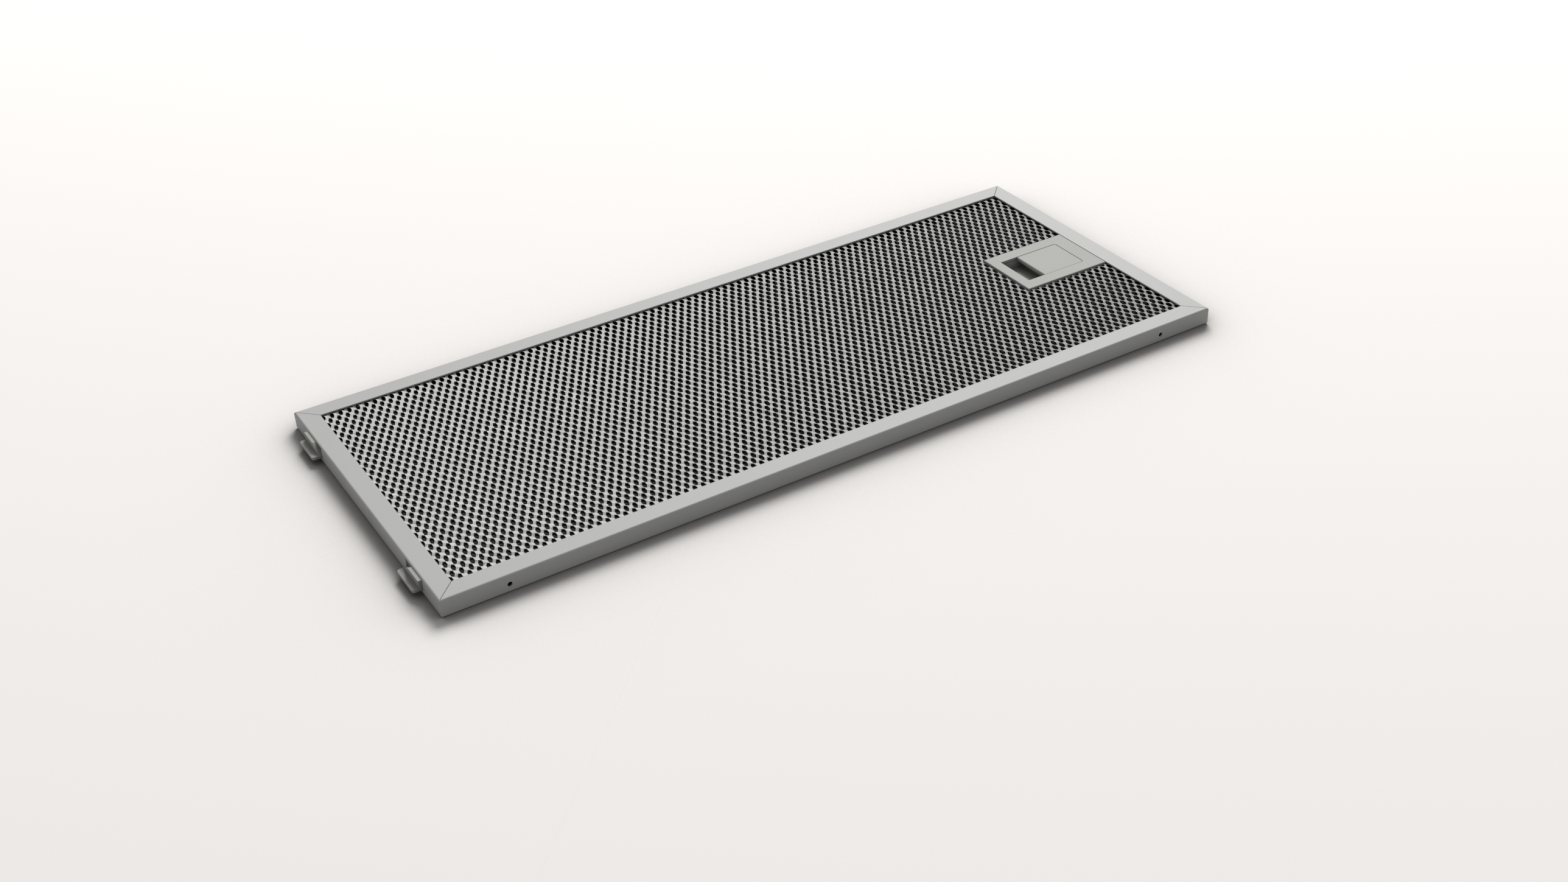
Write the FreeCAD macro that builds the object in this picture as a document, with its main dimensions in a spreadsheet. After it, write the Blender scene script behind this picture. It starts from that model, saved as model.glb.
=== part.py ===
import FreeCAD, Part
import os
import Sketcher

# Cooker hood grease filter: folded aluminium frame, stack of expanded mesh sheets,
# spring latch and two hooks. Lengths are in millimetres. The origin is under the middle
# of the frame, with X to the latch, Y to the back edge and Z up.
doc = FreeCAD.newDocument("grease_filter")
sizes = doc.addObject("Spreadsheet::Sheet", "sizes")

# Sizes that are chosen, each one stated once
CHOSEN = [
    ("frame_length", "445"),
    ("frame_width", "185"),
    ("frame_height", "9.5"),
    ("sheet_gauge", "0.7"),
    ("flange_width", "10.3"),
    ("bend_radius", "1"),
    ("mitre_gap", "0.3"),
    ("drain_inset", "33.3"),
    ("drain_depth", "5.2"),
    ("drain_diameter", "2.5"),
    ("fit_gap", "0.3"),
    ("seam_gap", "0.2"),
    ("running_gap", "0.2"),
    ("grid_gauge", "1"),
    ("layer_count", "5"),
    ("mesh_side_gap", "1"),
    ("strand_pitch", "4.6"),
    ("strand_rise", "8"),
    ("gap_share", "0.65"),
    ("coarse_step", "8"),
    ("edge_cover", "2.5"),
    ("notch_rim", "2.2"),
    ("bezel_length", "54.5"),
    ("bezel_width", "41"),
    ("bezel_round", "0.5"),
    ("bezel_rim", "6.2"),
    ("bezel_lap_end", "1.1"),
    ("bezel_lap_side", "2.4"),
    ("window_length", "38.8"),
    ("window_width", "25.5"),
    ("pocket_length", "11.2"),
    ("pocket_depth", "6.5"),
    ("panel_drop", "0.1"),
    ("panel_gap", "0.3"),
    ("panel_round", "0.8"),
    ("panel_corner", "1.2"),
    ("lip_reach", "4"),
    ("housing_wall", "1.2"),
    ("housing_side_wall", "3.2"),
    ("slider_wall", "1.2"),
    ("pull_travel", "4.2"),
    ("bolt_width", "18"),
    ("bolt_height", "3"),
    ("bolt_reach", "5"),
    ("bolt_ramp_length", "3"),
    ("bolt_ramp_height", "1.5"),
    ("spring_length", "18"),
    ("spring_end_gap", "0.15"),
    ("coil_diameter", "3.3"),
    ("coil_wire", "0.5"),
    ("coil_turns", "4"),
    ("spigot_diameter", "2.2"),
    ("spigot_length", "2.5"),
    ("post_length", "2.5"),
    ("post_width", "6"),
    ("pin_diameter", "1.8"),
    ("pin_height", "4"),
    ("pin_inset", "7"),
    ("pin_spacing", "34"),
    ("hook_inset", "29"),
    ("hook_width", "18.5"),
    ("hook_reach", "5"),
    ("hook_drop", "5"),
    ("tongue_gauge", "1.5"),
    ("tongue_round", "1.5"),
    ("collar_reach", "1.8"),
    ("collar_drop", "0.9"),
    ("collar_flat", "11.5"),
    ("hook_base_width", "26"),
    ("hook_base_gauge", "2"),
    ("hook_base_gap", "0.1"),
]

# Places and sizes that follow from the chosen ones
DERIVED = [
    ("half_length", "=frame_length / 2"),
    ("half_width", "=frame_width / 2"),
    ("wall_inner_x", "=half_length - sheet_gauge"),
    ("wall_inner_y", "=half_width - sheet_gauge"),
    ("open_half_x", "=half_length - flange_width"),
    ("open_half_y", "=half_width - flange_width"),
    ("roof_z", "=frame_height - sheet_gauge"),
    ("channel_height", "=frame_height - 2 * sheet_gauge"),
    ("mitre_slant", "=mitre_gap * 0.7071"),
    ("mitre_out_x", "=wall_inner_x - mitre_slant"),
    ("mitre_out_y", "=wall_inner_y - mitre_slant"),
    ("mitre_in_x", "=open_half_x - mitre_gap"),
    ("mitre_in_y", "=open_half_y - mitre_gap"),
    ("mitre_in_x_less", "=mitre_in_x - mitre_slant"),
    ("mitre_in_y_less", "=mitre_in_y - mitre_slant"),
    ("joint_out_x", "=half_length + mitre_gap"),
    ("joint_out_y", "=half_width + mitre_gap"),
    ("joint_out_x_less", "=joint_out_x - mitre_slant"),
    ("joint_out_y_less", "=joint_out_y - mitre_slant"),
    ("joint_in_x", "=wall_inner_x - mitre_gap"),
    ("joint_in_y", "=wall_inner_y - mitre_gap"),
    ("joint_in_x_less", "=joint_in_x - mitre_slant"),
    ("joint_in_y_less", "=joint_in_y - mitre_slant"),
    ("drain_x", "=half_length - drain_inset"),
    ("drain_z", "=frame_height - drain_depth"),
    ("drain_radius", "=drain_diameter / 2"),
    ("mesh_half_x", "=wall_inner_x - hook_base_gauge - fit_gap"),
    ("mesh_half_y", "=wall_inner_y - mesh_side_gap"),
    ("mesh_open_x", "=open_half_x + edge_cover"),
    ("mesh_open_y", "=open_half_y + edge_cover"),
    ("layer_gauge", "=(channel_height - 2 * grid_gauge) / layer_count"),
    ("slot_end_y", "=mesh_half_y + edge_cover"),
    ("slot_shift", "=2 * slot_end_y * strand_pitch / strand_rise"),
    ("fine_gap", "=strand_pitch * gap_share"),
    ("fine_near", "=-mesh_half_x - slot_shift + strand_pitch"),
    ("fine_near_gap", "=fine_near + fine_gap"),
    ("fine_far", "=fine_near + slot_shift"),
    ("fine_far_gap", "=fine_far + fine_gap"),
    ("fine_count", "=floor((2 * mesh_half_x + slot_shift) / strand_pitch) - 2"),
    ("fine_pitch", "=strand_pitch"),
    ("coarse_pitch", "=strand_pitch * coarse_step"),
    ("coarse_gap", "=coarse_pitch * gap_share"),
    ("coarse_near", "=-mesh_half_x - slot_shift + coarse_pitch"),
    ("coarse_near_gap", "=coarse_near + coarse_gap"),
    ("coarse_far", "=coarse_near + slot_shift"),
    ("coarse_far_gap", "=coarse_far + coarse_gap"),
    ("coarse_count", "=floor((2 * mesh_half_x + slot_shift) / coarse_pitch) - 2"),
    ("bezel_right", "=open_half_x - seam_gap"),
    ("bezel_left", "=bezel_right - bezel_length"),
    ("bezel_half", "=bezel_width / 2"),
    ("bezel_gauge", "=sheet_gauge + grid_gauge"),
    ("bezel_seat", "=frame_height - bezel_gauge"),
    ("box_left", "=bezel_left + bezel_lap_end"),
    ("box_right", "=wall_inner_x - fit_gap"),
    ("box_half", "=bezel_half - bezel_lap_side"),
    ("box_height", "=roof_z - bezel_gauge"),
    ("heel_left", "=open_half_x + seam_gap"),
    ("room_left", "=box_left + housing_wall"),
    ("room_right", "=box_right - housing_wall"),
    ("room_half", "=box_half - housing_side_wall"),
    ("room_height", "=bezel_seat - bezel_gauge"),
    ("window_left", "=bezel_left + bezel_rim"),
    ("window_right", "=window_left + window_length"),
    ("window_half", "=window_width / 2"),
    ("window_corner", "=panel_corner + panel_gap"),
    ("cover_notch_left", "=bezel_left - fit_gap"),
    ("cover_notch_half", "=bezel_half + fit_gap"),
    ("cover_rim_left", "=cover_notch_left - notch_rim"),
    ("cover_rim_half", "=cover_notch_half + notch_rim"),
    ("layer_notch_left", "=box_left - fit_gap"),
    ("layer_notch_half", "=box_half + fit_gap"),
    ("layer_rim_left", "=layer_notch_left - notch_rim"),
    ("layer_rim_half", "=layer_notch_half + notch_rim"),
    ("notch_right", "=mesh_half_x + notch_rim"),
    ("slider_left", "=room_left + running_gap + pull_travel"),
    ("slider_right", "=window_right + pull_travel + slider_wall"),
    ("slider_half", "=room_half - running_gap"),
    ("slider_foot", "=bezel_gauge + running_gap"),
    ("shoulder_z", "=bezel_seat - running_gap"),
    ("slider_height", "=shoulder_z - slider_foot"),
    ("panel_left", "=window_left + pocket_length"),
    ("panel_right", "=window_right - panel_gap"),
    ("panel_half", "=window_half - panel_gap"),
    ("panel_rise", "=frame_height - panel_drop - shoulder_z"),
    ("pocket_left", "=slider_left + slider_wall"),
    ("pocket_half", "=panel_half - seam_gap"),
    ("pocket_cut", "=shoulder_z - frame_height + pocket_depth"),
    ("lip_inner", "=panel_left + lip_reach"),
    ("hollow_left", "=lip_inner + slider_wall"),
    ("hollow_right", "=slider_right - slider_wall"),
    ("hollow_half", "=slider_half - slider_wall"),
    ("hollow_z", "=shoulder_z - slider_wall"),
    ("hollow_height", "=hollow_z - slider_foot"),
    ("bolt_half", "=bolt_width / 2"),
    ("bolt_tip", "=half_length + bolt_reach"),
    ("bolt_top", "=slider_foot + bolt_height"),
    ("bolt_ramp_x", "=bolt_tip - bolt_ramp_length"),
    ("bolt_ramp_z", "=slider_foot + bolt_ramp_height"),
    ("gate_half", "=bolt_half + fit_gap"),
    ("gate_low", "=slider_foot - running_gap"),
    ("gate_high", "=bolt_top + running_gap"),
    ("stop_left", "=slider_right + running_gap"),
    ("stop_right", "=stop_left + housing_wall"),
    ("spring_right", "=hollow_right - spring_end_gap"),
    ("spring_left", "=spring_right - spring_length"),
    ("spring_z", "=(slider_foot + hollow_z) / 2"),
    ("spring_height", "=spring_length - coil_wire"),
    ("coil_radius", "=coil_diameter / 2"),
    ("coil_inner", "=coil_radius - coil_wire / 2"),
    ("coil_outer", "=coil_radius + coil_wire / 2"),
    ("coil_pitch", "=spring_height / coil_turns"),
    ("spigot_radius", "=spigot_diameter / 2"),
    ("spigot_start", "=hollow_right - spigot_length"),
    ("post_right", "=spring_left - spring_end_gap"),
    ("post_left", "=post_right - post_length"),
    ("post_half", "=post_width / 2"),
    ("post_height", "=hollow_z - fit_gap - bezel_gauge"),
    ("pin_radius", "=pin_diameter / 2"),
    ("pin_hole_radius", "=pin_radius + seam_gap / 2"),
    ("pin_hole_z", "=bezel_gauge + pin_height + seam_gap"),
    ("pin_hole_depth", "=pin_height + seam_gap"),
    ("pin_y", "=(room_half + box_half) / 2"),
    ("pin_left_x", "=box_left + pin_inset"),
    ("pin_right_x", "=pin_left_x + pin_spacing"),
    ("hook_offset", "=half_width - hook_inset"),
    ("hook_half", "=hook_width / 2"),
    ("hook_near", "=hook_offset - hook_half"),
    ("hook_far", "=hook_offset + hook_half"),
    ("hook_slope", "=hook_far - collar_flat"),
    ("hook_tip", "=half_length + hook_reach"),
    ("collar_front", "=half_length + collar_reach"),
    ("collar_length", "=collar_reach + sheet_gauge"),
    ("collar_top", "=frame_height - collar_drop"),
    ("tongue_top", "=frame_height - hook_drop"),
    ("tongue_low", "=tongue_top - tongue_gauge"),
    ("base_near", "=hook_offset - hook_base_width / 2"),
    ("base_far", "=hook_offset + hook_base_width / 2"),
    ("base_low", "=sheet_gauge + hook_base_gap"),
    ("base_high", "=roof_z - hook_base_gap"),
    ("slot_near", "=hook_near - seam_gap"),
    ("slot_far", "=hook_far + seam_gap"),
    ("slot_low", "=tongue_low - seam_gap"),
    ("slot_high", "=collar_top + seam_gap"),
]

row = 1
for name, text in CHOSEN + DERIVED:
    sizes.set("A" + str(row), name)
    sizes.set("B" + str(row), text)
    sizes.setAlias("B" + str(row), name)
    row += 1
doc.recompute()


def value(name):
    # The signed number behind a name such as half_length or -half_length
    if name.startswith("-"):
        return -float(sizes.get(name[1:]))
    return float(sizes.get(name))


def link(name):
    # The expression that keeps a dimension tied to the sheet
    if name.startswith("-"):
        return "-sizes." + name[1:]
    return "sizes." + name


def start_body(label):
    body = doc.addObject("PartDesign::Body", label)
    body.Label = label
    return body


def start_sketch(body, label, plane, level):
    # A sketch on one of the body's own planes, moved along the plane's normal to a named level
    sketch = body.newObject("Sketcher::SketchObject", label)
    support = [f for f in body.Origin.OriginFeatures if f.Role == plane][0]
    sketch.AttachmentSupport = [(support, "")]
    sketch.MapMode = "FlatFace"
    if level is not None:
        sketch.AttachmentOffset = FreeCAD.Placement(FreeCAD.Vector(0, 0, value(level)), FreeCAD.Rotation())
        sketch.setExpression("AttachmentOffset.Base.z", link(level))
    return sketch


def add_outline(sketch, corners):
    # A closed outline whose every corner is dimensioned from the origin
    first = sketch.GeometryCount
    last = first + len(corners) - 1
    points = [FreeCAD.Vector(value(u), value(v), 0) for u, v in corners]
    for i, point in enumerate(points):
        sketch.addGeometry(Part.LineSegment(point, points[(i + 1) % len(points)]), False)
    for i in range(len(corners)):
        after = first + i + 1 if first + i < last else first
        sketch.addConstraint(Sketcher.Constraint("Coincident", first + i, 2, after, 1))
    for i, corner in enumerate(corners):
        for kind, name in zip(("DistanceX", "DistanceY"), corner):
            index = sketch.addConstraint(Sketcher.Constraint(kind, -1, 1, first + i, 1, value(name)))
            sketch.setExpression("Constraints[" + str(index) + "]", link(name))


def add_rectangle(sketch, left, right, low, high):
    add_outline(sketch, [(left, low), (right, low), (right, high), (left, high)])


def add_circle(sketch, centre, radius):
    spot = FreeCAD.Vector(value(centre[0]), value(centre[1]), 0)
    circle = sketch.addGeometry(Part.Circle(spot, FreeCAD.Vector(0, 0, 1), value(radius)), False)
    for kind, name in zip(("DistanceX", "DistanceY"), centre):
        index = sketch.addConstraint(Sketcher.Constraint(kind, -1, 1, circle, 3, value(name)))
        sketch.setExpression("Constraints[" + str(index) + "]", link(name))
    index = sketch.addConstraint(Sketcher.Constraint("Radius", circle, value(radius)))
    sketch.setExpression("Constraints[" + str(index) + "]", link(radius))


def pad(body, sketch, length, label):
    feature = body.newObject("PartDesign::Pad", label)
    feature.Profile = sketch
    feature.Length = value(length)
    feature.setExpression("Length", link(length))
    doc.recompute()
    return feature


def pocket(body, sketch, length, label):
    # Cuts against the sketch's normal; with no length it goes right through
    feature = body.newObject("PartDesign::Pocket", label)
    feature.Profile = sketch
    if length is None:
        feature.Type = "ThroughAll"
    else:
        feature.Length = value(length)
        feature.setExpression("Length", link(length))
    doc.recompute()
    return feature


def round_edges(body, base, edges, radius, label):
    feature = body.newObject("PartDesign::Fillet", label)
    feature.Base = (base, edges)
    feature.Radius = value(radius)
    feature.setExpression("Radius", link(radius))
    doc.recompute()
    return feature


def edges_where(feature, wanted):
    # Names of the edges whose middle and direction suit the wanted rule
    names = []
    for i, edge in enumerate(feature.Shape.Edges):
        if wanted(edge):
            names.append("Edge" + str(i + 1))
    return names


def stands_at(edge, x, half_y, low_z):
    # True for an upright edge at a named x, that far to either side, and not below a level
    near = value("seam_gap")
    upright = abs(edge.Vertexes[0].Z - edge.Vertexes[-1].Z) > near
    at_x = all(abs(v.X - value(x)) < near for v in edge.Vertexes)
    at_side = all(abs(abs(v.Y) - value(half_y)) < near for v in edge.Vertexes)
    return upright and at_x and at_side and min(v.Z for v in edge.Vertexes) > value(low_z) - near


# Frame: one strip of sheet folded to a U channel and bent round four mitred corners
frame = start_body("frame")
sketch = start_sketch(frame, "frame_outline", "XY_Plane", None)
add_rectangle(sketch, "-half_length", "half_length", "-half_width", "half_width")
block = pad(frame, sketch, "frame_height", "frame_block")
level_edges = edges_where(block, lambda e: abs(e.Vertexes[0].Z - e.Vertexes[1].Z) < value("seam_gap"))
round_edges(frame, block, level_edges, "bend_radius", "frame_folds")
sketch = start_sketch(frame, "frame_window", "XY_Plane", "frame_height")
add_rectangle(sketch, "-open_half_x", "open_half_x", "-open_half_y", "open_half_y")
pocket(frame, sketch, None, "frame_window_cut")
sketch = start_sketch(frame, "frame_channel", "XY_Plane", "roof_z")
add_rectangle(sketch, "-wall_inner_x", "wall_inner_x", "-wall_inner_y", "wall_inner_y")
pocket(frame, sketch, "channel_height", "frame_channel_cut")
# Slots in the left wall for the two hooks
sketch = start_sketch(frame, "hook_slots", "YZ_Plane", "-wall_inner_x")
add_rectangle(sketch, "-slot_far", "-slot_near", "slot_low", "slot_high")
add_rectangle(sketch, "slot_near", "slot_far", "slot_low", "slot_high")
pocket(frame, sketch, "sheet_gauge", "hook_slots_cut")
# Slot in the right wall for the bolt
sketch = start_sketch(frame, "bolt_slot", "YZ_Plane", "half_length")
add_rectangle(sketch, "-gate_half", "gate_half", "gate_low", "gate_high")
pocket(frame, sketch, "sheet_gauge", "bolt_slot_cut")
# Drain holes near the ends of both long walls
sketch = start_sketch(frame, "drain_holes", "XZ_Plane", "half_width")
add_circle(sketch, ("-drain_x", "drain_z"), "drain_radius")
add_circle(sketch, ("drain_x", "drain_z"), "drain_radius")
pocket(frame, sketch, None, "drain_holes_cut")
# Mitre lines in both flanges, from the fold to the window's corner
sketch = start_sketch(frame, "mitre_lines", "XY_Plane", "frame_height")
for sx in ("", "-"):
    for sy in ("", "-"):
        add_outline(sketch, [
            (sx + "wall_inner_x", sy + "mitre_out_y"),
            (sx + "wall_inner_x", sy + "wall_inner_y"),
            (sx + "mitre_out_x", sy + "wall_inner_y"),
            (sx + "mitre_in_x_less", sy + "mitre_in_y"),
            (sx + "mitre_in_x", sy + "mitre_in_y_less"),
        ])
pocket(frame, sketch, None, "mitre_lines_cut")
# The strip's two ends meet at the back right corner
sketch = start_sketch(frame, "closing_joint", "XY_Plane", "frame_height")
add_outline(sketch, [
    ("joint_out_x", "joint_out_y_less"),
    ("joint_out_x_less", "joint_out_y"),
    ("joint_in_x_less", "joint_in_y"),
    ("joint_in_x", "joint_in_y_less"),
])
pocket(frame, sketch, None, "closing_joint_cut")


def sheet_box(label, left, right, half, level, gauge):
    # A flat block between two named ends, as wide each side of the middle, lying at a level
    item = doc.addObject("Part::Box", label)
    item.setExpression("Length", "(" + link(right) + ") - (" + link(left) + ")")
    item.setExpression("Width", "2 * " + link(half))
    item.setExpression("Height", link(gauge))
    item.setExpression("Placement.Base.x", link(left))
    item.setExpression("Placement.Base.y", link("-" + half))
    item.setExpression("Placement.Base.z", level)
    return item


def combine(kind, label, base, tool):
    item = doc.addObject(kind, label)
    item.Base = base
    item.Tool = tool
    return item


def leaning_gaps(label, gauge, lean, grain):
    # The long gaps between the leaning strands, right across the sheet
    prisms = []
    end = value("slot_end_y") * lean
    for i in range(int(value(grain + "_count"))):
        step = FreeCAD.Vector(i * value(grain + "_pitch"), 0, 0)
        corners = [
            FreeCAD.Vector(value(grain + "_near"), -end, 0) + step,
            FreeCAD.Vector(value(grain + "_near_gap"), -end, 0) + step,
            FreeCAD.Vector(value(grain + "_far_gap"), end, 0) + step,
            FreeCAD.Vector(value(grain + "_far"), end, 0) + step,
        ]
        face = Part.Face(Part.makePolygon(corners + corners[:1]))
        prisms.append(face.extrude(FreeCAD.Vector(0, 0, value(gauge))))
    item = doc.addObject("Part::Feature", label)
    item.Shape = Part.makeCompound(prisms)
    return item


def mesh_sheet(label, level, gauge, lean, grain, notch):
    # A sheet of leaning strands in a plain border, with a notch at the latch end
    plate = sheet_box(label + "_plate", "-mesh_half_x", "mesh_half_x", "mesh_half_y", level, gauge)
    left = notch + "_notch_left"
    room = sheet_box(label + "_notch", left, "notch_right", notch + "_notch_half", level, gauge)
    field = sheet_box(label + "_field", "-mesh_open_x", "mesh_open_x", "mesh_open_y", level, gauge)
    rim = sheet_box(label + "_rim", notch + "_rim_left", "notch_right", notch + "_rim_half", level, gauge)
    gaps = leaning_gaps(label + "_gaps", gauge, lean, grain)
    gaps.setExpression("Placement.Base.z", level)
    blank = combine("Part::Cut", label + "_blank", plate, room)
    open_field = combine("Part::Cut", label + "_open_field", field, rim)
    open_gaps = combine("Part::Common", label + "_open_gaps", gaps, open_field)
    sheet = combine("Part::Cut", label, blank, open_gaps)
    doc.recompute()
    return sheet


def sheet_copy(label, source, rise):
    # A second sheet from the same tool, lying higher in the pack
    item = doc.addObject("Part::Feature", label)
    item.Shape = source.Shape.copy()
    item.setExpression("Placement.Base.z", rise)
    doc.recompute()
    return item


# Mesh pack: cover sheets under the flanges, and the inner layers that catch the grease
bottom_grid = mesh_sheet("bottom_grid", "sizes.sheet_gauge", "grid_gauge", 1, "fine", "cover")
top_grid = sheet_copy("top_grid", bottom_grid, "sizes.bezel_seat - sizes.sheet_gauge")
layers = []
patterns = {}
layer_count = int(value("layer_count"))
for i in range(layer_count):
    label = "mesh_layer_" + str(i + 1)
    grain = "fine" if i == layer_count - 1 else "coarse"
    lean = -1 if i % 2 == 0 else 1
    if (grain, lean) in patterns:
        first = patterns[(grain, lean)]
        layers.append(sheet_copy(label, layers[first], str(i - first) + " * sizes.layer_gauge"))
    else:
        level = "sizes.bezel_gauge + " + str(i) + " * sizes.layer_gauge"
        layers.append(mesh_sheet(label, level, "layer_gauge", lean, grain, "layer"))
        patterns[(grain, lean)] = i

# Latch housing: bezel in the window with a box under it that reaches into the frame's channel
latch_housing = start_body("latch_housing")
sketch = start_sketch(latch_housing, "housing_box", "XY_Plane", "bezel_gauge")
add_rectangle(sketch, "box_left", "box_right", "-box_half", "box_half")
pad(latch_housing, sketch, "box_height", "housing_box_pad")
sketch = start_sketch(latch_housing, "housing_heel", "XY_Plane", "sheet_gauge")
add_rectangle(sketch, "heel_left", "box_right", "-box_half", "box_half")
pad(latch_housing, sketch, "grid_gauge", "housing_heel_pad")
sketch = start_sketch(latch_housing, "bezel", "XY_Plane", "bezel_seat")
add_rectangle(sketch, "bezel_left", "bezel_right", "-bezel_half", "bezel_half")
bezel = pad(latch_housing, sketch, "bezel_gauge", "bezel_pad")
top = value("frame_height")
rim = edges_where(bezel, lambda e: min(v.Z for v in e.Vertexes) > top - value("seam_gap"))
round_edges(latch_housing, bezel, rim, "bezel_round", "bezel_rounding")
sketch = start_sketch(latch_housing, "housing_room", "XY_Plane", "bezel_seat")
add_rectangle(sketch, "room_left", "room_right", "-room_half", "room_half")
pocket(latch_housing, sketch, "room_height", "housing_room_cut")
sketch = start_sketch(latch_housing, "housing_window", "XY_Plane", "frame_height")
add_rectangle(sketch, "window_left", "window_right", "-window_half", "window_half")
window = pocket(latch_housing, sketch, "bezel_gauge", "housing_window_cut")
corners = edges_where(window, lambda e: stands_at(e, "window_right", "window_half", "bezel_seat"))
round_edges(latch_housing, window, corners, "window_corner", "window_rounding")
sketch = start_sketch(latch_housing, "housing_gate", "YZ_Plane", "box_right")
add_rectangle(sketch, "-gate_half", "gate_half", "gate_low", "gate_high")
pocket(latch_housing, sketch, "housing_wall", "housing_gate_cut")
# Two stops that the spring holds the slider against
sketch = start_sketch(latch_housing, "slider_stops", "XY_Plane", "bezel_gauge")
add_rectangle(sketch, "stop_left", "stop_right", "gate_half", "room_half")
add_rectangle(sketch, "stop_left", "stop_right", "-room_half", "-gate_half")
pad(latch_housing, sketch, "room_height", "slider_stops_pad")
# Holes for the cover's four pins
sketch = start_sketch(latch_housing, "pin_holes", "XY_Plane", "pin_hole_z")
for x in ("pin_left_x", "pin_right_x"):
    for y in ("-pin_y", "pin_y"):
        add_circle(sketch, (x, y), "pin_hole_radius")
pocket(latch_housing, sketch, "pin_hole_depth", "pin_holes_cut")

# Latch slider: flat panel with a lip over the finger pocket, and the bolt, in one moulding
latch_slider = start_body("latch_slider")
sketch = start_sketch(latch_slider, "slider_block", "XY_Plane", "slider_foot")
add_rectangle(sketch, "slider_left", "slider_right", "-slider_half", "slider_half")
pad(latch_slider, sketch, "slider_height", "slider_block_pad")
sketch = start_sketch(latch_slider, "slider_panel", "XY_Plane", "shoulder_z")
add_rectangle(sketch, "panel_left", "panel_right", "-panel_half", "panel_half")
panel = pad(latch_slider, sketch, "panel_rise", "slider_panel_pad")
corners = edges_where(panel, lambda e: stands_at(e, "panel_right", "panel_half", "shoulder_z"))
panel = round_edges(latch_slider, panel, corners, "panel_corner", "panel_corner_rounding")
crest = value("shoulder_z") + value("seam_gap")
edge_x = value("panel_left") + value("seam_gap")
raised = edges_where(panel, lambda e: min(v.Z for v in e.Vertexes) > crest)
gripped = edges_where(panel, lambda e: max(v.X for v in e.Vertexes) < edge_x)
grip = [name for name in raised if name in gripped]
round_edges(latch_slider, panel, grip, "panel_round", "panel_rounding")
sketch = start_sketch(latch_slider, "finger_pocket", "XY_Plane", "shoulder_z")
add_rectangle(sketch, "pocket_left", "lip_inner", "-pocket_half", "pocket_half")
pocket(latch_slider, sketch, "pocket_cut", "finger_pocket_cut")
sketch = start_sketch(latch_slider, "slider_hollow", "XY_Plane", "hollow_z")
add_rectangle(sketch, "hollow_left", "hollow_right", "-hollow_half", "hollow_half")
pocket(latch_slider, sketch, "hollow_height", "slider_hollow_cut")
sketch = start_sketch(latch_slider, "bolt", "XZ_Plane", "-bolt_half")
add_outline(sketch, [
    ("hollow_right", "slider_foot"),
    ("bolt_ramp_x", "slider_foot"),
    ("bolt_tip", "bolt_ramp_z"),
    ("bolt_tip", "bolt_top"),
    ("hollow_right", "bolt_top"),
])
pad(latch_slider, sketch, "bolt_width", "bolt_pad")
sketch = start_sketch(latch_slider, "slider_spigot", "YZ_Plane", "spigot_start")
spigot = sketch.addGeometry(Part.Circle(FreeCAD.Vector(0, value("spring_z"), 0), FreeCAD.Vector(0, 0, 1),
                                        value("spigot_radius")), False)
sketch.addConstraint(Sketcher.Constraint("PointOnObject", spigot, 3, -2))
index = sketch.addConstraint(Sketcher.Constraint("DistanceY", -1, 1, spigot, 3, value("spring_z")))
sketch.setExpression("Constraints[" + str(index) + "]", link("spring_z"))
index = sketch.addConstraint(Sketcher.Constraint("Radius", spigot, value("spigot_radius")))
sketch.setExpression("Constraints[" + str(index) + "]", link("spigot_radius"))
pad(latch_slider, sketch, "spigot_length", "slider_spigot_pad")

# Rear cover of the latch, with the post that the spring pushes on and four pins
latch_cover = start_body("latch_cover")
sketch = start_sketch(latch_cover, "cover_plate", "XY_Plane", None)
add_rectangle(sketch, "bezel_left", "bezel_right", "-bezel_half", "bezel_half")
pad(latch_cover, sketch, "bezel_gauge", "cover_plate_pad")
sketch = start_sketch(latch_cover, "spring_post", "XY_Plane", "bezel_gauge")
add_rectangle(sketch, "post_left", "post_right", "-post_half", "post_half")
pad(latch_cover, sketch, "post_height", "spring_post_pad")
sketch = start_sketch(latch_cover, "cover_pins", "XY_Plane", "bezel_gauge")
for x in ("pin_left_x", "pin_right_x"):
    for y in ("-pin_y", "pin_y"):
        add_circle(sketch, (x, y), "pin_radius")
pad(latch_cover, sketch, "pin_height", "cover_pins_pad")
sketch = start_sketch(latch_cover, "cover_spigot", "YZ_Plane", "post_right")
spigot = sketch.addGeometry(Part.Circle(FreeCAD.Vector(0, value("spring_z"), 0), FreeCAD.Vector(0, 0, 1),
                                        value("spigot_radius")), False)
sketch.addConstraint(Sketcher.Constraint("PointOnObject", spigot, 3, -2))
index = sketch.addConstraint(Sketcher.Constraint("DistanceY", -1, 1, spigot, 3, value("spring_z")))
sketch.setExpression("Constraints[" + str(index) + "]", link("spring_z"))
index = sketch.addConstraint(Sketcher.Constraint("Radius", spigot, value("spigot_radius")))
sketch.setExpression("Constraints[" + str(index) + "]", link("spigot_radius"))
pad(latch_cover, sketch, "spigot_length", "cover_spigot_pad")

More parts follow.
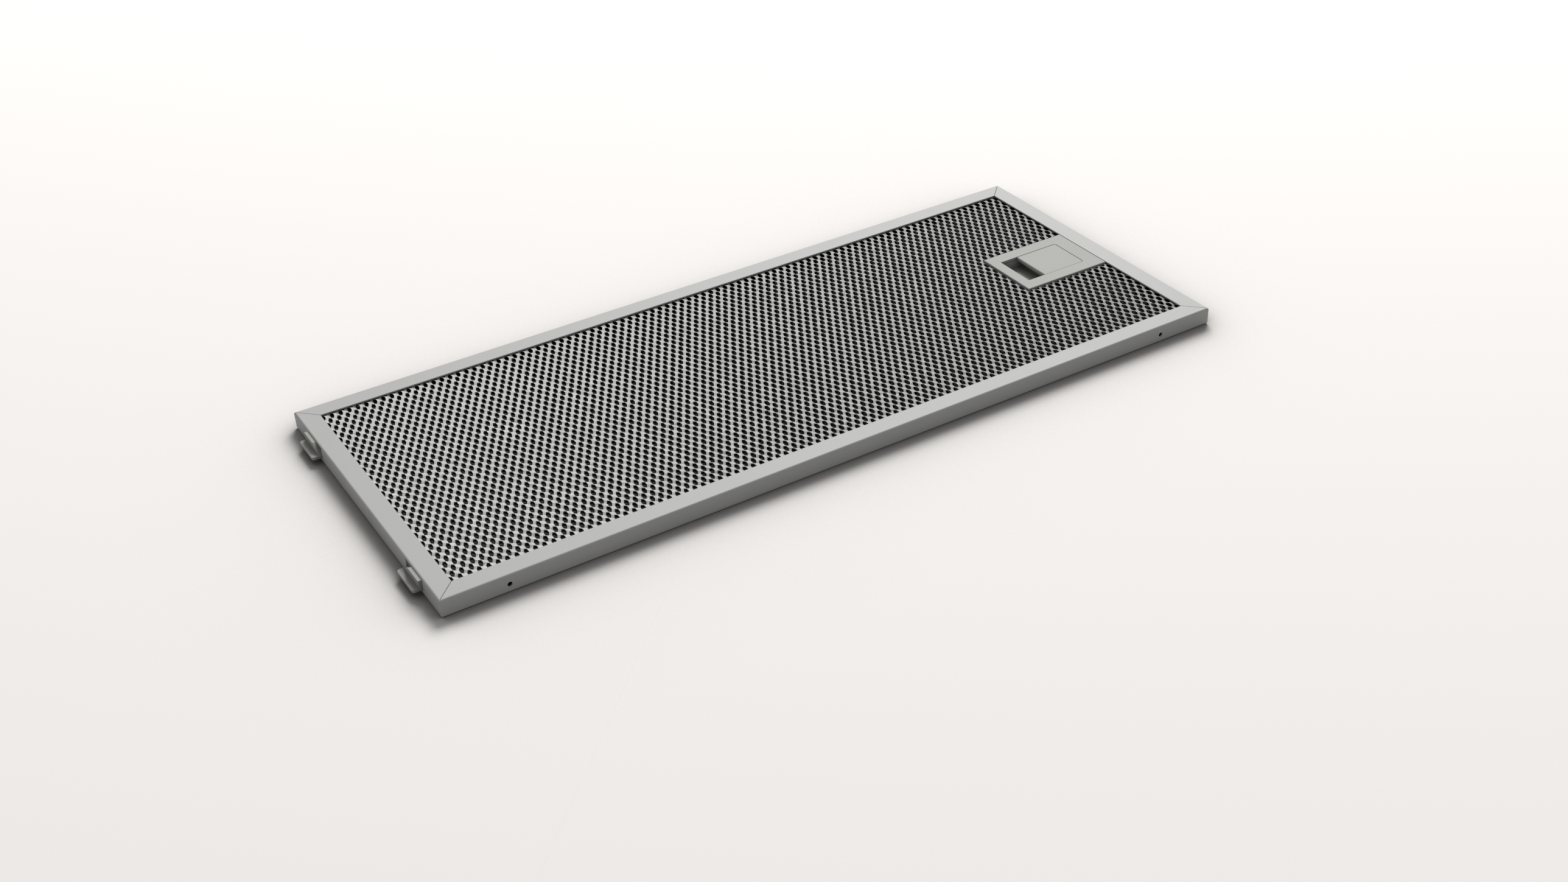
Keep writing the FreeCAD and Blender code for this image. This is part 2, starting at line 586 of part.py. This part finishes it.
# Return spring: a coil along X between the cover's post and the slider's end wall
latch_spring = start_body("latch_spring")
latch_spring.Placement = FreeCAD.Placement(
    FreeCAD.Vector(value("spring_left") + value("coil_wire") / 2, 0, value("spring_z")), FreeCAD.Rotation())
sketch = start_sketch(latch_spring, "spring_wire", "XZ_Plane", None)
wire_half = doc.sizes.coil_wire / 2
corners = [(-wire_half, value("coil_inner")), (wire_half, value("coil_inner")),
           (wire_half, value("coil_outer")), (-wire_half, value("coil_outer"))]
for i in range(len(corners)):
    a = FreeCAD.Vector(corners[i][0], corners[i][1], 0)
    b = FreeCAD.Vector(corners[(i + 1) % len(corners)][0], corners[(i + 1) % len(corners)][1], 0)
    sketch.addGeometry(Part.LineSegment(a, b), False)
coil = latch_spring.newObject("PartDesign::AdditiveHelix", "spring_coil")
coil.Profile = sketch
coil.ReferenceAxis = (sketch, ["H_Axis"])
coil.Mode = "pitch-turns-angle"
coil.Pitch = value("coil_pitch")
coil.Turns = value("coil_turns")
coil.setExpression("Pitch", link("coil_pitch"))
coil.setExpression("Turns", link("coil_turns"))
latch_spring.Tip = coil
doc.recompute()


def hook(label, side):
    # A moulded hook: base plate behind the wall, tongue and sloping collar through the wall's slot
    body = start_body(label)
    base = start_sketch(body, label + "_base", "YZ_Plane", "-wall_inner_x")
    add_rectangle(base, side + "base_near", side + "base_far", "base_low", "base_high")
    pad(body, base, "hook_base_gauge", label + "_base_pad")
    tongue = start_sketch(body, label + "_tongue", "XY_Plane", "tongue_low")
    add_rectangle(tongue, "-hook_tip", "-wall_inner_x", side + "hook_near", side + "hook_far")
    plate = pad(body, tongue, "tongue_gauge", label + "_tongue_pad")
    tip = value("-hook_tip") + value("seam_gap")
    ends = edges_where(plate, lambda e: max(v.X for v in e.Vertexes) < tip
                       and abs(e.Vertexes[0].Z - e.Vertexes[-1].Z) > value("seam_gap"))
    round_edges(body, plate, ends, "tongue_round", label + "_tongue_rounding")
    collar = start_sketch(body, label + "_collar", "YZ_Plane", "-collar_front")
    add_outline(collar, [
        (side + "hook_near", "tongue_low"),
        (side + "hook_near", "tongue_top"),
        (side + "hook_slope", "collar_top"),
        (side + "hook_far", "collar_top"),
        (side + "hook_far", "tongue_low"),
    ])
    pad(body, collar, "collar_length", label + "_collar_pad")
    return body


hook_front = hook("hook_front", "-")
hook_back = hook("hook_back", "")
doc.recompute()

# Check every object, then write each piece to its own file
for item in doc.Objects:
    if "Invalid" in item.State or "Error" in item.State:
        raise RuntimeError(item.Label + " is not valid")
os.makedirs("parts", exist_ok=True)
pieces = [frame, bottom_grid, top_grid] + layers
pieces += [latch_housing, latch_slider, latch_cover, latch_spring, hook_front, hook_back]
for piece in pieces:
    shape = piece.Shape
    if shape.isNull() or not shape.isValid() or len(shape.Solids) != 1:
        raise RuntimeError(piece.Label + " has no single valid solid")
    shape.exportStep("parts/" + piece.Label + ".step")
    print(piece.Label, "volume", round(shape.Volume, 1), shape.BoundBox)
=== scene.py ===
import math

import bmesh
import bpy
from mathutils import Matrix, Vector


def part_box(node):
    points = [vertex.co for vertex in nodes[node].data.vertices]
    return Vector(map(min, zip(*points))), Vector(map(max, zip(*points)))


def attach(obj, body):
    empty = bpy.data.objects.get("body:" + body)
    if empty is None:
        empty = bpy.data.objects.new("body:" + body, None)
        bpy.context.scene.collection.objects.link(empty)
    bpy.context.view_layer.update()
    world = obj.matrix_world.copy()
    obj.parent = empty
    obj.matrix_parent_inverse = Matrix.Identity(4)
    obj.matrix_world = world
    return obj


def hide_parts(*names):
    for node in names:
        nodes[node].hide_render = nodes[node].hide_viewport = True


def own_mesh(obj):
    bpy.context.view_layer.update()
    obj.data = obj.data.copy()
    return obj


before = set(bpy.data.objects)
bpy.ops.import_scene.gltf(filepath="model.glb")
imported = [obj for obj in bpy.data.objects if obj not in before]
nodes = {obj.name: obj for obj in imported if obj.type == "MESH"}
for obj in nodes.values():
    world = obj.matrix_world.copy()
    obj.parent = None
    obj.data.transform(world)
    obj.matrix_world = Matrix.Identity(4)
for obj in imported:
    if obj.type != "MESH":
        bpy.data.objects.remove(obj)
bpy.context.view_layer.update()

# Expanded aluminium: the stock that all seven mesh sheets are cut from. Thin sheet is slit in rows and
# pulled open, so that every strand leans over. The cover sheets have broad bonds and slanted six-sided holes.
# A quarter of one mesh is shaped from a plane, turned and mirrored to a whole one, and repeated.
MM = 0.001
PITCH_X = 4.6 * MM
PITCH_Y = 8.0 * MM
STRAND_SHARE = 0.33
COVER_WEB = 0.26
INNER_WEB = 0.0
STRAND_LEAN = 0.42 * MM
STRAND_GAUGE = 0.25 * MM
STOCK_GAUGE = STRAND_GAUGE + 2 * STRAND_LEAN
STRAND_WANDER = 0.12 * MM
STRAND_SEED = 5
SPARE_MESHES = 2
HAIR = 0.001 * MM
quarter_x, quarter_y = PITCH_X / 2, PITCH_Y / 2
bond_x, bond_y = STRAND_SHARE * quarter_x, STRAND_SHARE * quarter_y
grid_low, grid_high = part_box("top_grid")
meshes_x = math.ceil((grid_high.x - grid_low.x) / PITCH_X) + SPARE_MESHES
meshes_y = math.ceil((grid_high.y - grid_low.y) / PITCH_Y) + SPARE_MESHES


def select_only(piece):
    bpy.ops.object.select_all(action="DESELECT")
    piece.select_set(True)
    bpy.context.view_layer.objects.active = piece


def edit(piece):
    """Opens the piece in edit mode, with all of it selected."""
    select_only(piece)
    bpy.ops.object.mode_set(mode="EDIT")
    bpy.ops.mesh.select_all(action="SELECT")


def leave_edit():
    bpy.ops.object.mode_set(mode="OBJECT")


def pick(piece, kind, rule):
    """Selects the corners, kind VERT, or the faces, kind FACE, that satisfy the rule."""
    bpy.ops.mesh.select_mode(type=kind)
    bpy.ops.mesh.select_all(action="DESELECT")
    shape = bmesh.from_edit_mesh(piece.data)
    for part in shape.verts if kind == "VERT" else shape.faces:
        part.select_set(rule(part))
    shape.select_flush_mode()
    bmesh.update_edit_mesh(piece.data)


def shift_corners(piece, rule, shift):
    pick(piece, "VERT", lambda corner: rule(corner.co.x, corner.co.y))
    bpy.ops.transform.translate(value=shift)


def bisect(point, normal, clear=True, fill=False):
    """Cuts the piece at a plane. Clearing takes away the side that the normal points to. A filled cut doesn't
    snap to the corners beside the plane, because that leaves gaps in its fill."""
    bpy.ops.mesh.select_mode(type="FACE")
    bpy.ops.mesh.select_all(action="SELECT")
    bpy.ops.mesh.bisect(
        plane_co=point, plane_no=normal, clear_outer=clear, use_fill=fill, threshold=0 if fill else HAIR,
    )


def apply_modifier(piece, kind, **settings):
    select_only(piece)
    modifier = piece.modifiers.new(kind.lower(), kind)
    for name, setting in settings.items():
        setattr(modifier, name, setting)
    bpy.ops.object.modifier_apply(modifier=modifier.name)


def on_quarter_side(face):
    """Whether a face closes the quarter on a side where the next quarter follows."""
    sides = ((0, 0), (0, quarter_x), (1, 0), (1, quarter_y))
    return any(all(abs(corner.co[axis] - side) < HAIR for corner in face.verts) for axis, side in sides)


def mesh_quarter(web_share):
    """One strand, from the middle of the bond at (0, 0) to the middle of the next, left open in edit mode.
    The bonds reach into the holes by that share of a quarter."""
    web_x, web_y = web_share * quarter_x, web_share * quarter_y
    far_x, far_y = quarter_x - bond_x, quarter_y - bond_y
    fold = (bond_y - web_y, bond_x + web_x, 0)
    bpy.ops.object.select_all(action="DESELECT")
    bpy.ops.mesh.primitive_plane_add(size=1)
    quarter = bpy.context.object
    edit(quarter)
    bpy.ops.transform.resize(value=(quarter_x, quarter_y, 1))
    bpy.ops.transform.translate(value=(quarter_x / 2, quarter_y / 2, STRAND_GAUGE / 2))
    bisect((bond_x, 0, 0), (quarter_y, -quarter_x, 0))
    bisect((-bond_x, 0, 0), (-quarter_y, quarter_x, 0))
    bisect((0, bond_y, 0), fold, clear=False)
    bisect((quarter_x, far_y, 0), fold, clear=False)
    # At the near bond the lower edge goes out and down, and at the far bond the upper edge goes out and up.
    shift_corners(quarter, lambda x, y: y < HAIR and x > bond_x - HAIR, (web_x, 0, 0))
    shift_corners(quarter, lambda x, y: y < web_y + HAIR and x > bond_x + web_x - HAIR, (0, 0, -STRAND_LEAN))
    shift_corners(quarter, lambda x, y: y > quarter_y - HAIR and x < far_x + HAIR, (-web_x, 0, 0))
    shift_corners(
        quarter, lambda x, y: y > quarter_y - web_y - HAIR and x < far_x - web_x + HAIR, (0, 0, STRAND_LEAN),
    )
    bpy.ops.mesh.select_mode(type="FACE")
    bpy.ops.mesh.select_all(action="SELECT")
    bpy.ops.mesh.extrude_region_move(TRANSFORM_OT_translate={"value": (0, 0, -STRAND_GAUGE)})
    bpy.ops.mesh.select_all(action="SELECT")
    bpy.ops.mesh.normals_make_consistent(inside=False)
    pick(quarter, "FACE", on_quarter_side)
    bpy.ops.mesh.delete(type="ONLY_FACE")
    return quarter


def expanded_stock(web_share):
    """A sheet of mesh that is larger than the filter, with its middle at the origin."""
    stock = mesh_quarter(web_share)
    bpy.ops.mesh.select_all(action="SELECT")
    bpy.ops.mesh.duplicate()
    bpy.ops.transform.rotate(value=math.pi, orient_axis="Y", center_override=(0, 0, 0))
    bpy.ops.mesh.select_all(action="SELECT")
    bpy.ops.mesh.remove_doubles(threshold=HAIR)
    leave_edit()
    apply_modifier(stock, "MIRROR", use_axis=(False, True, False), merge_threshold=HAIR)
    for count, step in ((meshes_x, (PITCH_X, 0, 0)), (meshes_y, (0, PITCH_Y, 0))):
        apply_modifier(
            stock, "ARRAY", count=count, use_relative_offset=False, use_constant_offset=True,
            constant_offset_displace=step, use_merge_vertices=True, merge_threshold=HAIR,
        )
    edit(stock)
    bpy.ops.transform.translate(value=(-(meshes_x - 1) * quarter_x, -(meshes_y - 1) * quarter_y, 0))
    bpy.ops.transform.vertex_random(offset=STRAND_WANDER, seed=STRAND_SEED)
    leave_edit()
    return stock


cover_stock = expanded_stock(COVER_WEB)
inner_stock = expanded_stock(INNER_WEB)


# Mesh aluminium: bare mill-finish metal. Each strand has fine draw lines and small cloudy patches left by the
# slitting oil. The inner layers are coloured near black, as painted shade for the shade the sheets cast.
class Shade:
    """One socket among a material's nodes. Sums written on it add Math nodes."""

    def __init__(self, tree, socket=None):
        self.tree = tree
        self.socket = socket

    def node(self, kind, settings=(), sockets=(), out=0):
        """Adds a node, with its settings first and then the values or links of its sockets."""
        made = self.tree.nodes.new(kind)
        for name, setting in dict(settings).items():
            setattr(made, name, setting)
        for name, given in dict(sockets).items():
            if isinstance(given, Shade):
                self.tree.links.new(given.socket, made.inputs[name])
            else:
                made.inputs[name].default_value = given
        return Shade(self.tree, made.outputs[out] if len(made.outputs) else None)

    def output(self, name):
        """Another output of the node that this socket belongs to."""
        return Shade(self.tree, self.socket.node.outputs[name])

    def math(self, operation, *values):
        return self.node("ShaderNodeMath", {"operation": operation}, enumerate(values))

    def __add__(self, other):
        return self.math("ADD", self, other)

    def __radd__(self, other):
        return self.math("ADD", other, self)

    def __rsub__(self, other):
        return self.math("SUBTRACT", other, self)

    def __mul__(self, other):
        return self.math("MULTIPLY", self, other)

    def __rmul__(self, other):
        return self.math("MULTIPLY", other, self)

    def __pow__(self, other):
        return self.math("POWER", self, other)

    def __lt__(self, other):
        return self.math("LESS_THAN", self, other)

    def __abs__(self):
        return self.math("ABSOLUTE", self)


def new_finish(name):
    """An empty material, and the Shade that its nodes are made from."""
    finish = bpy.data.materials.new(name)
    finish.use_nodes = True
    finish.node_tree.nodes.clear()
    return finish, Shade(finish.node_tree)


def object_place(shade):
    return shade.node("ShaderNodeTexCoord", out="Object")


def noise(shade, per_metre, detail=2.0):
    """Noise from 0 to 1 with that many spots to the metre along X, Y and Z."""
    stretched = shade.node("ShaderNodeMapping", sockets={"Vector": object_place(shade), "Scale": per_metre})
    return shade.node("ShaderNodeTexNoise", sockets={"Vector": stretched, "Scale": 1.0, "Detail": detail})


# A Mix node has sockets for each kind of value, and these are the ones for colours.
MIX_SHARE, MIX_FIRST, MIX_SECOND, MIX_RESULT = 0, 6, 7, 2


def colour_between(shade, share, first, second):
    """The first colour where the share is 0 and the second where it is 1."""
    first, second = [tone if isinstance(tone, Shade) else (*tone, 1.0) for tone in (first, second)]
    sockets = {MIX_SHARE: share, MIX_FIRST: first, MIX_SECOND: second}
    return shade.node("ShaderNodeMix", {"data_type": "RGBA"}, sockets, out=MIX_RESULT)


def bumped(shade, height, strength, depth):
    return shade.node("ShaderNodeBump", sockets={"Height": height, "Strength": strength, "Distance": depth})


def surface(shade, **sockets):
    """Ends the material with one Principled shader. Socket names are written with _ for a space."""
    named = {name.replace("_", " "): given for name, given in sockets.items()}
    shader = shade.node("ShaderNodeBsdfPrincipled", sockets=named)
    shade.node("ShaderNodeOutputMaterial", sockets={"Surface": shader})


MESH_BRIGHT = (0.38, 0.38, 0.373)
MESH_DULL = (0.235, 0.235, 0.23)
OIL_SHARE = 0.6
MESH_ROUGHNESS = 0.42
OIL_ROUGHNESS = 0.2
LINE_ROUGHNESS = 0.06
mesh_aluminium, shade = new_finish("mesh_aluminium_strands")
oil_cloud = noise(shade, per_metre=(60, 60, 60), detail=4.0)
draw_lines = noise(shade, per_metre=(900, 250, 1600))
clouded_lines = OIL_SHARE * oil_cloud + (1 - OIL_SHARE) * draw_lines
surface(
    shade,
    Base_Color=colour_between(shade, clouded_lines, MESH_DULL, MESH_BRIGHT),
    Metallic=0.4,
    Specular_IOR_Level=0.3,
    Roughness=MESH_ROUGHNESS + OIL_ROUGHNESS * oil_cloud + LINE_ROUGHNESS * draw_lines,
    Normal=bumped(shade, draw_lines, strength=0.25, depth=0.05 * MM),
)
# Painted shade: the inner layers are coloured dark for the shade that the sheets cast on one another.
INNER_PAINTED_SHADE_LIGHT = (0.16, 0.16, 0.157)
INNER_PAINTED_SHADE_DARK = (0.02, 0.02, 0.0195)
INNER_ROUGHNESS = 0.6
MOTTLE_ROUGHNESS = 0.2
painted_shade_inner_aluminium, shade = new_finish("mesh_aluminium_inner_painted_shade")
inner_shade_mottle = noise(shade, per_metre=(160, 160, 160), detail=4.0)
surface(
    shade,
    Base_Color=colour_between(shade, inner_shade_mottle, INNER_PAINTED_SHADE_DARK, INNER_PAINTED_SHADE_LIGHT),
    Roughness=INNER_ROUGHNESS + MOTTLE_ROUGHNESS * inner_shade_mottle,
    Specular_IOR_Level=0.1,
)

# Bottom grid, five inner layers and top grid: seven sheets sheared from that stock and laid one on another,
# each a little to one side of the last, so that no hole goes straight through. All are notched round the
# latch, and nothing but the frame's fold holds them.
NOTCH_GAP = 0.3 * MM
BEZEL_LAP_END = 1.1 * MM
BEZEL_LAP_SIDE = 2.4 * MM
INNER_HEIGHT_SHARE = 0.6
# Each sheet, and the shares of a mesh that it lies to one side of the middle along X and Y.
SHEETS = (
    ("bottom_grid", 0.0, 0.0),
    ("mesh_layer_1", 0.25, 0.25),
    ("mesh_layer_2", 0.55, 0.1),
    ("mesh_layer_3", 0.1, 0.4),
    ("mesh_layer_4", 0.4, 0.7),
    ("mesh_layer_5", 0.3, 0.25),
    ("top_grid", 0.0, 0.0),
)
housing_low, housing_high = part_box("latch_housing")


def sheet_box(node):
    """The lowest and highest corners of a sheet. A cover sheet lies at its node's outer side, and an inner
    layer is pressed flatter than its node."""
    low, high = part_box(node)
    if node == "top_grid":
        low.z = high.z - STOCK_GAUGE
    elif node == "bottom_grid":
        high.z = low.z + STOCK_GAUGE
    else:
        high.z = low.z + INNER_HEIGHT_SHARE * (high.z - low.z)
    return low, high


def lay_sheet(stock, name, low, high, shift_x, shift_y):
    """Lays a copy of the stock at the height of the sheet's box, shifted by those shares of a mesh."""
    sheet = stock.copy()
    sheet.data = stock.data.copy()
    sheet.name = name
    bpy.context.scene.collection.objects.link(sheet)
    edit(sheet)
    bpy.ops.transform.resize(value=(1, 1, (high.z - low.z) / STOCK_GAUGE))
    bpy.ops.transform.translate(value=(shift_x * PITCH_X, shift_y * PITCH_Y, (low.z + high.z) / 2))
    leave_edit()
    return sheet


def close_cuts():
    """Fills every open edge loop of the piece and turns its faces outward."""
    bpy.ops.mesh.select_mode(type="EDGE")
    bpy.ops.mesh.select_all(action="DESELECT")
    bpy.ops.mesh.select_non_manifold(
        use_wire=False, use_multi_face=False, use_non_contiguous=False, use_verts=False,
    )
    bpy.ops.mesh.fill_holes(sides=0)
    bpy.ops.mesh.select_all(action="SELECT")
    bpy.ops.mesh.normals_make_consistent(inside=False)


def shear_edges(sheet, low, high):
    """Cuts the sheet to its box's four sides."""
    edit(sheet)
    for corner, side in ((high, 1), (low, -1)):
        bisect(corner, (side, 0, 0), fill=True)
        bisect(corner, (0, side, 0), fill=True)
    bpy.ops.mesh.select_all(action="SELECT")
    bpy.ops.mesh.remove_doubles(threshold=HAIR)
    close_cuts()
    leave_edit()


def shear_notch(sheet, low, high, lap_end, lap_side):
    """Cuts the notch for the latch housing. The sheet reaches under the housing's bezel by those laps."""
    notch_x = housing_low.x - NOTCH_GAP + lap_end
    notch_y = housing_high.y + NOTCH_GAP - lap_side
    bpy.ops.object.select_all(action="DESELECT")
    bpy.ops.mesh.primitive_cube_add(size=1)
    punch = bpy.context.object
    edit(punch)
    bpy.ops.transform.resize(value=(2 * (high.x - notch_x), 2 * notch_y, 2 * (high.z - low.z)))
    bpy.ops.transform.translate(value=(high.x, 0, (low.z + high.z) / 2))
    leave_edit()
    apply_modifier(sheet, "BOOLEAN", operation="DIFFERENCE", solver="MANIFOLD", object=punch)
    bpy.data.objects.remove(punch)


def give_finish(piece, finish):
    """Makes that finish the piece's only one."""
    piece.data.materials.clear()
    piece.data.materials.append(finish)


for node, shift_x, shift_y in SHEETS:
    low, high = sheet_box(node)
    if node.startswith("mesh_layer"):
        stock, finish, lap_end, lap_side = inner_stock, painted_shade_inner_aluminium, BEZEL_LAP_END, BEZEL_LAP_SIDE
    else:
        stock, finish, lap_end, lap_side = cover_stock, mesh_aluminium, 0, 0
    sheet = lay_sheet(stock, node + "_mesh", low, high, shift_x, shift_y)
    shear_edges(sheet, low, high)
    shear_notch(sheet, low, high, lap_end, lap_side)
    give_finish(sheet, finish)
    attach(sheet, "filter")
    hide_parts(node)
bpy.data.objects.remove(cover_stock)
bpy.data.objects.remove(inner_stock)

# Frame: one strip of satin aluminium sheet, roll-formed to a U channel, bent round four mitred corners and
# closed at the back right one. The rolling grain runs along each rail, so it turns at the mitres.
FRAME_LIGHT = (0.525, 0.525, 0.512)
FRAME_DARK = (0.455, 0.455, 0.443)
ALONG_RAIL = 14
ACROSS_RAIL = 2600
GRAIN_SHARE = 0.55
FRAME_ROUGHNESS = 0.46
GRAIN_ROUGHNESS = 0.12
HANDLING_ROUGHNESS = 0.1
frame_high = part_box("frame")[1]
frame_aluminium, shade = new_finish("frame_aluminium_satin")
place = shade.node("ShaderNodeSeparateXYZ", sockets={"Vector": object_place(shade)})
from_end = frame_high.x - abs(place.output("X"))
from_side = frame_high.y - abs(place.output("Y"))
end_rail = from_end < from_side
long_grain = noise(shade, per_metre=(ALONG_RAIL, ACROSS_RAIL, ACROSS_RAIL))
end_grain = noise(shade, per_metre=(ACROSS_RAIL, ALONG_RAIL, ACROSS_RAIL))
grain = end_grain * end_rail + long_grain * (1 - end_rail)
handling = noise(shade, per_metre=(35, 35, 35), detail=5.0)
handled_grain = GRAIN_SHARE * grain + (1 - GRAIN_SHARE) * handling
surface(
    shade,
    Base_Color=colour_between(shade, handled_grain, FRAME_DARK, FRAME_LIGHT),
    Metallic=0.05,
    Specular_IOR_Level=0.12,
    Roughness=FRAME_ROUGHNESS + GRAIN_ROUGHNESS * grain + HANDLING_ROUGHNESS * handling,
    Normal=bumped(shade, grain, strength=0.12, depth=0.03 * MM),
)
give_finish(nodes["frame"], frame_aluminium)

# Hooks: two tongues moulded in grey plastic, each with a collar that snaps into a slot of the left end wall.
# The mould was spark-eroded, which leaves the fine matt pebbling that all the plastic pieces share. Recesses
# in the plastic, such as the finger pocket, are coloured darker, as painted shade.
PLASTIC_LIGHT = (0.41, 0.414, 0.386)
PLASTIC_DARK = (0.37, 0.374, 0.349)
PLASTIC_RECESS_SHADE = (0.15, 0.15, 0.14)
RECESS_SHADE_REACH = 7 * MM
RECESS_SHADE_SAMPLES = 4
PEBBLE_SHARE = 0.5
PLASTIC_ROUGHNESS = 0.5
PEBBLE_ROUGHNESS = 0.1
FLOW_ROUGHNESS = 0.08


def openness(shade, reach, samples):
    """1 on an open face, and less where other faces stand over it within reach."""
    return shade.node("ShaderNodeAmbientOcclusion", {"samples": samples}, {"Distance": reach}, out="AO")


grey_plastic, shade = new_finish("grey_plastic_pebbled")
pebbles = noise(shade, per_metre=(2800, 2800, 2800), detail=3.0)
flow_marks = noise(shade, per_metre=(40, 90, 90), detail=3.0)
pebbled_flow = PEBBLE_SHARE * pebbles + (1 - PEBBLE_SHARE) * flow_marks
moulded = colour_between(shade, pebbled_flow, PLASTIC_DARK, PLASTIC_LIGHT)
unshaded_share = openness(shade, RECESS_SHADE_REACH, RECESS_SHADE_SAMPLES)
surface(
    shade,
    # Painted shade: the base colour darkens where other faces close over the plastic, as in the finger
    # pocket.
    Base_Color=colour_between(shade, unshaded_share, PLASTIC_RECESS_SHADE, moulded),
    Roughness=PLASTIC_ROUGHNESS + PEBBLE_ROUGHNESS * pebbles + FLOW_ROUGHNESS * flow_marks,
    Specular_IOR_Level=0.25,
    Normal=bumped(shade, pebbles, strength=0.2, depth=0.04 * MM),
)
give_finish(nodes["hook_front"], grey_plastic)
give_finish(nodes["hook_back"], grey_plastic)

# Latch: a moulded housing whose bezel lies in the grid's notch, a slider with a finger pocket and a bolt, and
# a rear cover that is pinned to the housing. All three are the same grey plastic as the hooks.
for node in ("latch_housing", "latch_slider", "latch_cover"):
    give_finish(nodes[node], grey_plastic)

# Latch spring: round steel wire wound to a compression coil. It sits between the cover's post and the
# slider's end wall, and the slider squeezes it as it is pulled back.
STEEL_LIGHT = (0.62, 0.62, 0.63)
STEEL_DARK = (0.42, 0.42, 0.43)
STEEL_ROUGHNESS = 0.22
DIE_ROUGHNESS = 0.2
WIRE = 0.5 * MM
TURNS = 4
STEPS_A_TURN = 32
WIRE_SIDES = 12
SHARP_ANGLE = 40
spring_low, spring_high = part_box("latch_spring")
spring_middle = (spring_low + spring_high) / 2
spring_length = spring_high.x - spring_low.x
coil_radius = (spring_high.z - spring_low.z - WIRE) / 2
bpy.ops.object.select_all(action="DESELECT")
bpy.ops.mesh.primitive_circle_add(vertices=WIRE_SIDES, radius=WIRE / 2, fill_type="NGON")
spring = bpy.context.object
spring.name = "latch_spring_coil"
edit(spring)
bpy.ops.transform.rotate(value=math.pi / 2, orient_axis="X", center_override=(0, 0, 0))
bpy.ops.transform.translate(value=(0, 0, coil_radius))
leave_edit()
apply_modifier(
    spring, "SCREW", axis="X", angle=TURNS * math.tau, screw_offset=spring_length - WIRE,
    steps=TURNS * STEPS_A_TURN, render_steps=TURNS * STEPS_A_TURN, use_merge_vertices=False,
)
edit(spring)
bpy.ops.transform.translate(value=(spring_low.x + WIRE / 2, spring_middle.y, spring_middle.z))
close_cuts()
leave_edit()
bpy.ops.object.shade_smooth_by_angle(angle=math.radians(SHARP_ANGLE))
spring_steel, shade = new_finish("spring_steel_wire")
die_lines = noise(shade, per_metre=(1500, 1500, 1500), detail=3.0)
surface(
    shade,
    Base_Color=colour_between(shade, die_lines, STEEL_DARK, STEEL_LIGHT),
    Metallic=1.0,
    Roughness=STEEL_ROUGHNESS + DIE_ROUGHNESS * die_lines,
    Normal=bumped(shade, die_lines, strength=0.1, depth=0.02 * MM),
)
give_finish(spring, spring_steel)
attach(spring, "filter")
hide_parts("latch_spring")
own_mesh(spring)

# Floor: white card under the filter, so wide that its edge doesn't show, with painted shadow close round it.
# The filter gets back less light from it than the camera does, as on a small table with dark surroundings, so
# that the frame's walls stay darker than its top.
FLOOR_WHITE = (1.0, 0.97, 0.945)
FLOOR_SHADE = (0.18, 0.17, 0.16)
FLOOR_BOUNCE = (0.45, 0.45, 0.45, 1.0)
FLOOR_SIZE = 60.0
SHADE_REACH = 0.1
SHADE_DEPTH = 3.0
SHADE_SAMPLES = 10
bpy.ops.object.select_all(action="DESELECT")
bpy.ops.mesh.primitive_plane_add(size=FLOOR_SIZE)
floor = bpy.context.object
floor.name = "floor"
floor_card, shade = new_finish("floor_card")
ray = shade.node("ShaderNodeLightPath")
seen = ray.output("Is Camera Ray")
for kind in ("Is Glossy Ray", "Is Transmission Ray"):
    seen = shade.math("MAXIMUM", seen, ray.output(kind))
# Painted shadow: the card's colour darkens where the filter closes over it.
open_card = openness(shade, SHADE_REACH, SHADE_SAMPLES) ** SHADE_DEPTH
shaded = colour_between(shade, open_card, FLOOR_SHADE, FLOOR_WHITE)
white = shade.node("ShaderNodeBsdfDiffuse", sockets={"Color": shaded})
bounce = shade.node("ShaderNodeBsdfDiffuse", sockets={"Color": FLOOR_BOUNCE})
card = shade.node("ShaderNodeMixShader", sockets={0: seen, 1: bounce, 2: white})
shade.node("ShaderNodeOutputMaterial", sockets={"Surface": card})
give_finish(floor, floor_card)

# Light: an even white room, and one large square soft box at the back right. The box is aimed at the middle
# of the filter, from about 41 degrees above the floor.
ROOM_WHITE = (1.0, 1.0, 1.0, 1.0)
ROOM_STRENGTH = 0.32
SOFT_BOX_PLACE = Vector((2.3, 2.7, 3.1))
SOFT_BOX_SIZE = 2.2
SOFT_BOX_WATTS = 220.0
scene = bpy.context.scene
scene.view_settings.view_transform = "Standard"
room = bpy.data.worlds.new("room")
room.use_nodes = True
room_light = room.node_tree.nodes["Background"].inputs
room_light["Color"].default_value = ROOM_WHITE
room_light["Strength"].default_value = ROOM_STRENGTH
scene.world = room
lamp = bpy.data.lights.new("soft_box", "AREA")
lamp.shape = "SQUARE"
lamp.size = SOFT_BOX_SIZE
lamp.energy = SOFT_BOX_WATTS
soft_box = bpy.data.objects.new("soft_box", lamp)
soft_box.location = SOFT_BOX_PLACE
soft_box.rotation_euler = (-SOFT_BOX_PLACE).to_track_quat("-Z", "Y").to_euler()
scene.collection.objects.link(soft_box)

# Camera: fitted to the corners of the frame in the photograph, which is 2576 x 1449. It stands at the front
# left, about 1 m from the middle of the filter and 0.5 m above the floor.
CAMERA_PLACE = (-0.41663, -0.71743, 0.50854)
CAMERA_TURN = (56.390, 1.891, -31.977)
CAMERA_LENS = 42.667
CAMERA_SENSOR = 36.0
camera_data = bpy.data.cameras.new("camera")
camera_data.lens = CAMERA_LENS
camera_data.sensor_width = CAMERA_SENSOR
camera = bpy.data.objects.new("camera", camera_data)
camera.location = CAMERA_PLACE
camera.rotation_euler = [math.radians(turn) for turn in CAMERA_TURN]
scene.collection.objects.link(camera)
scene.camera = camera
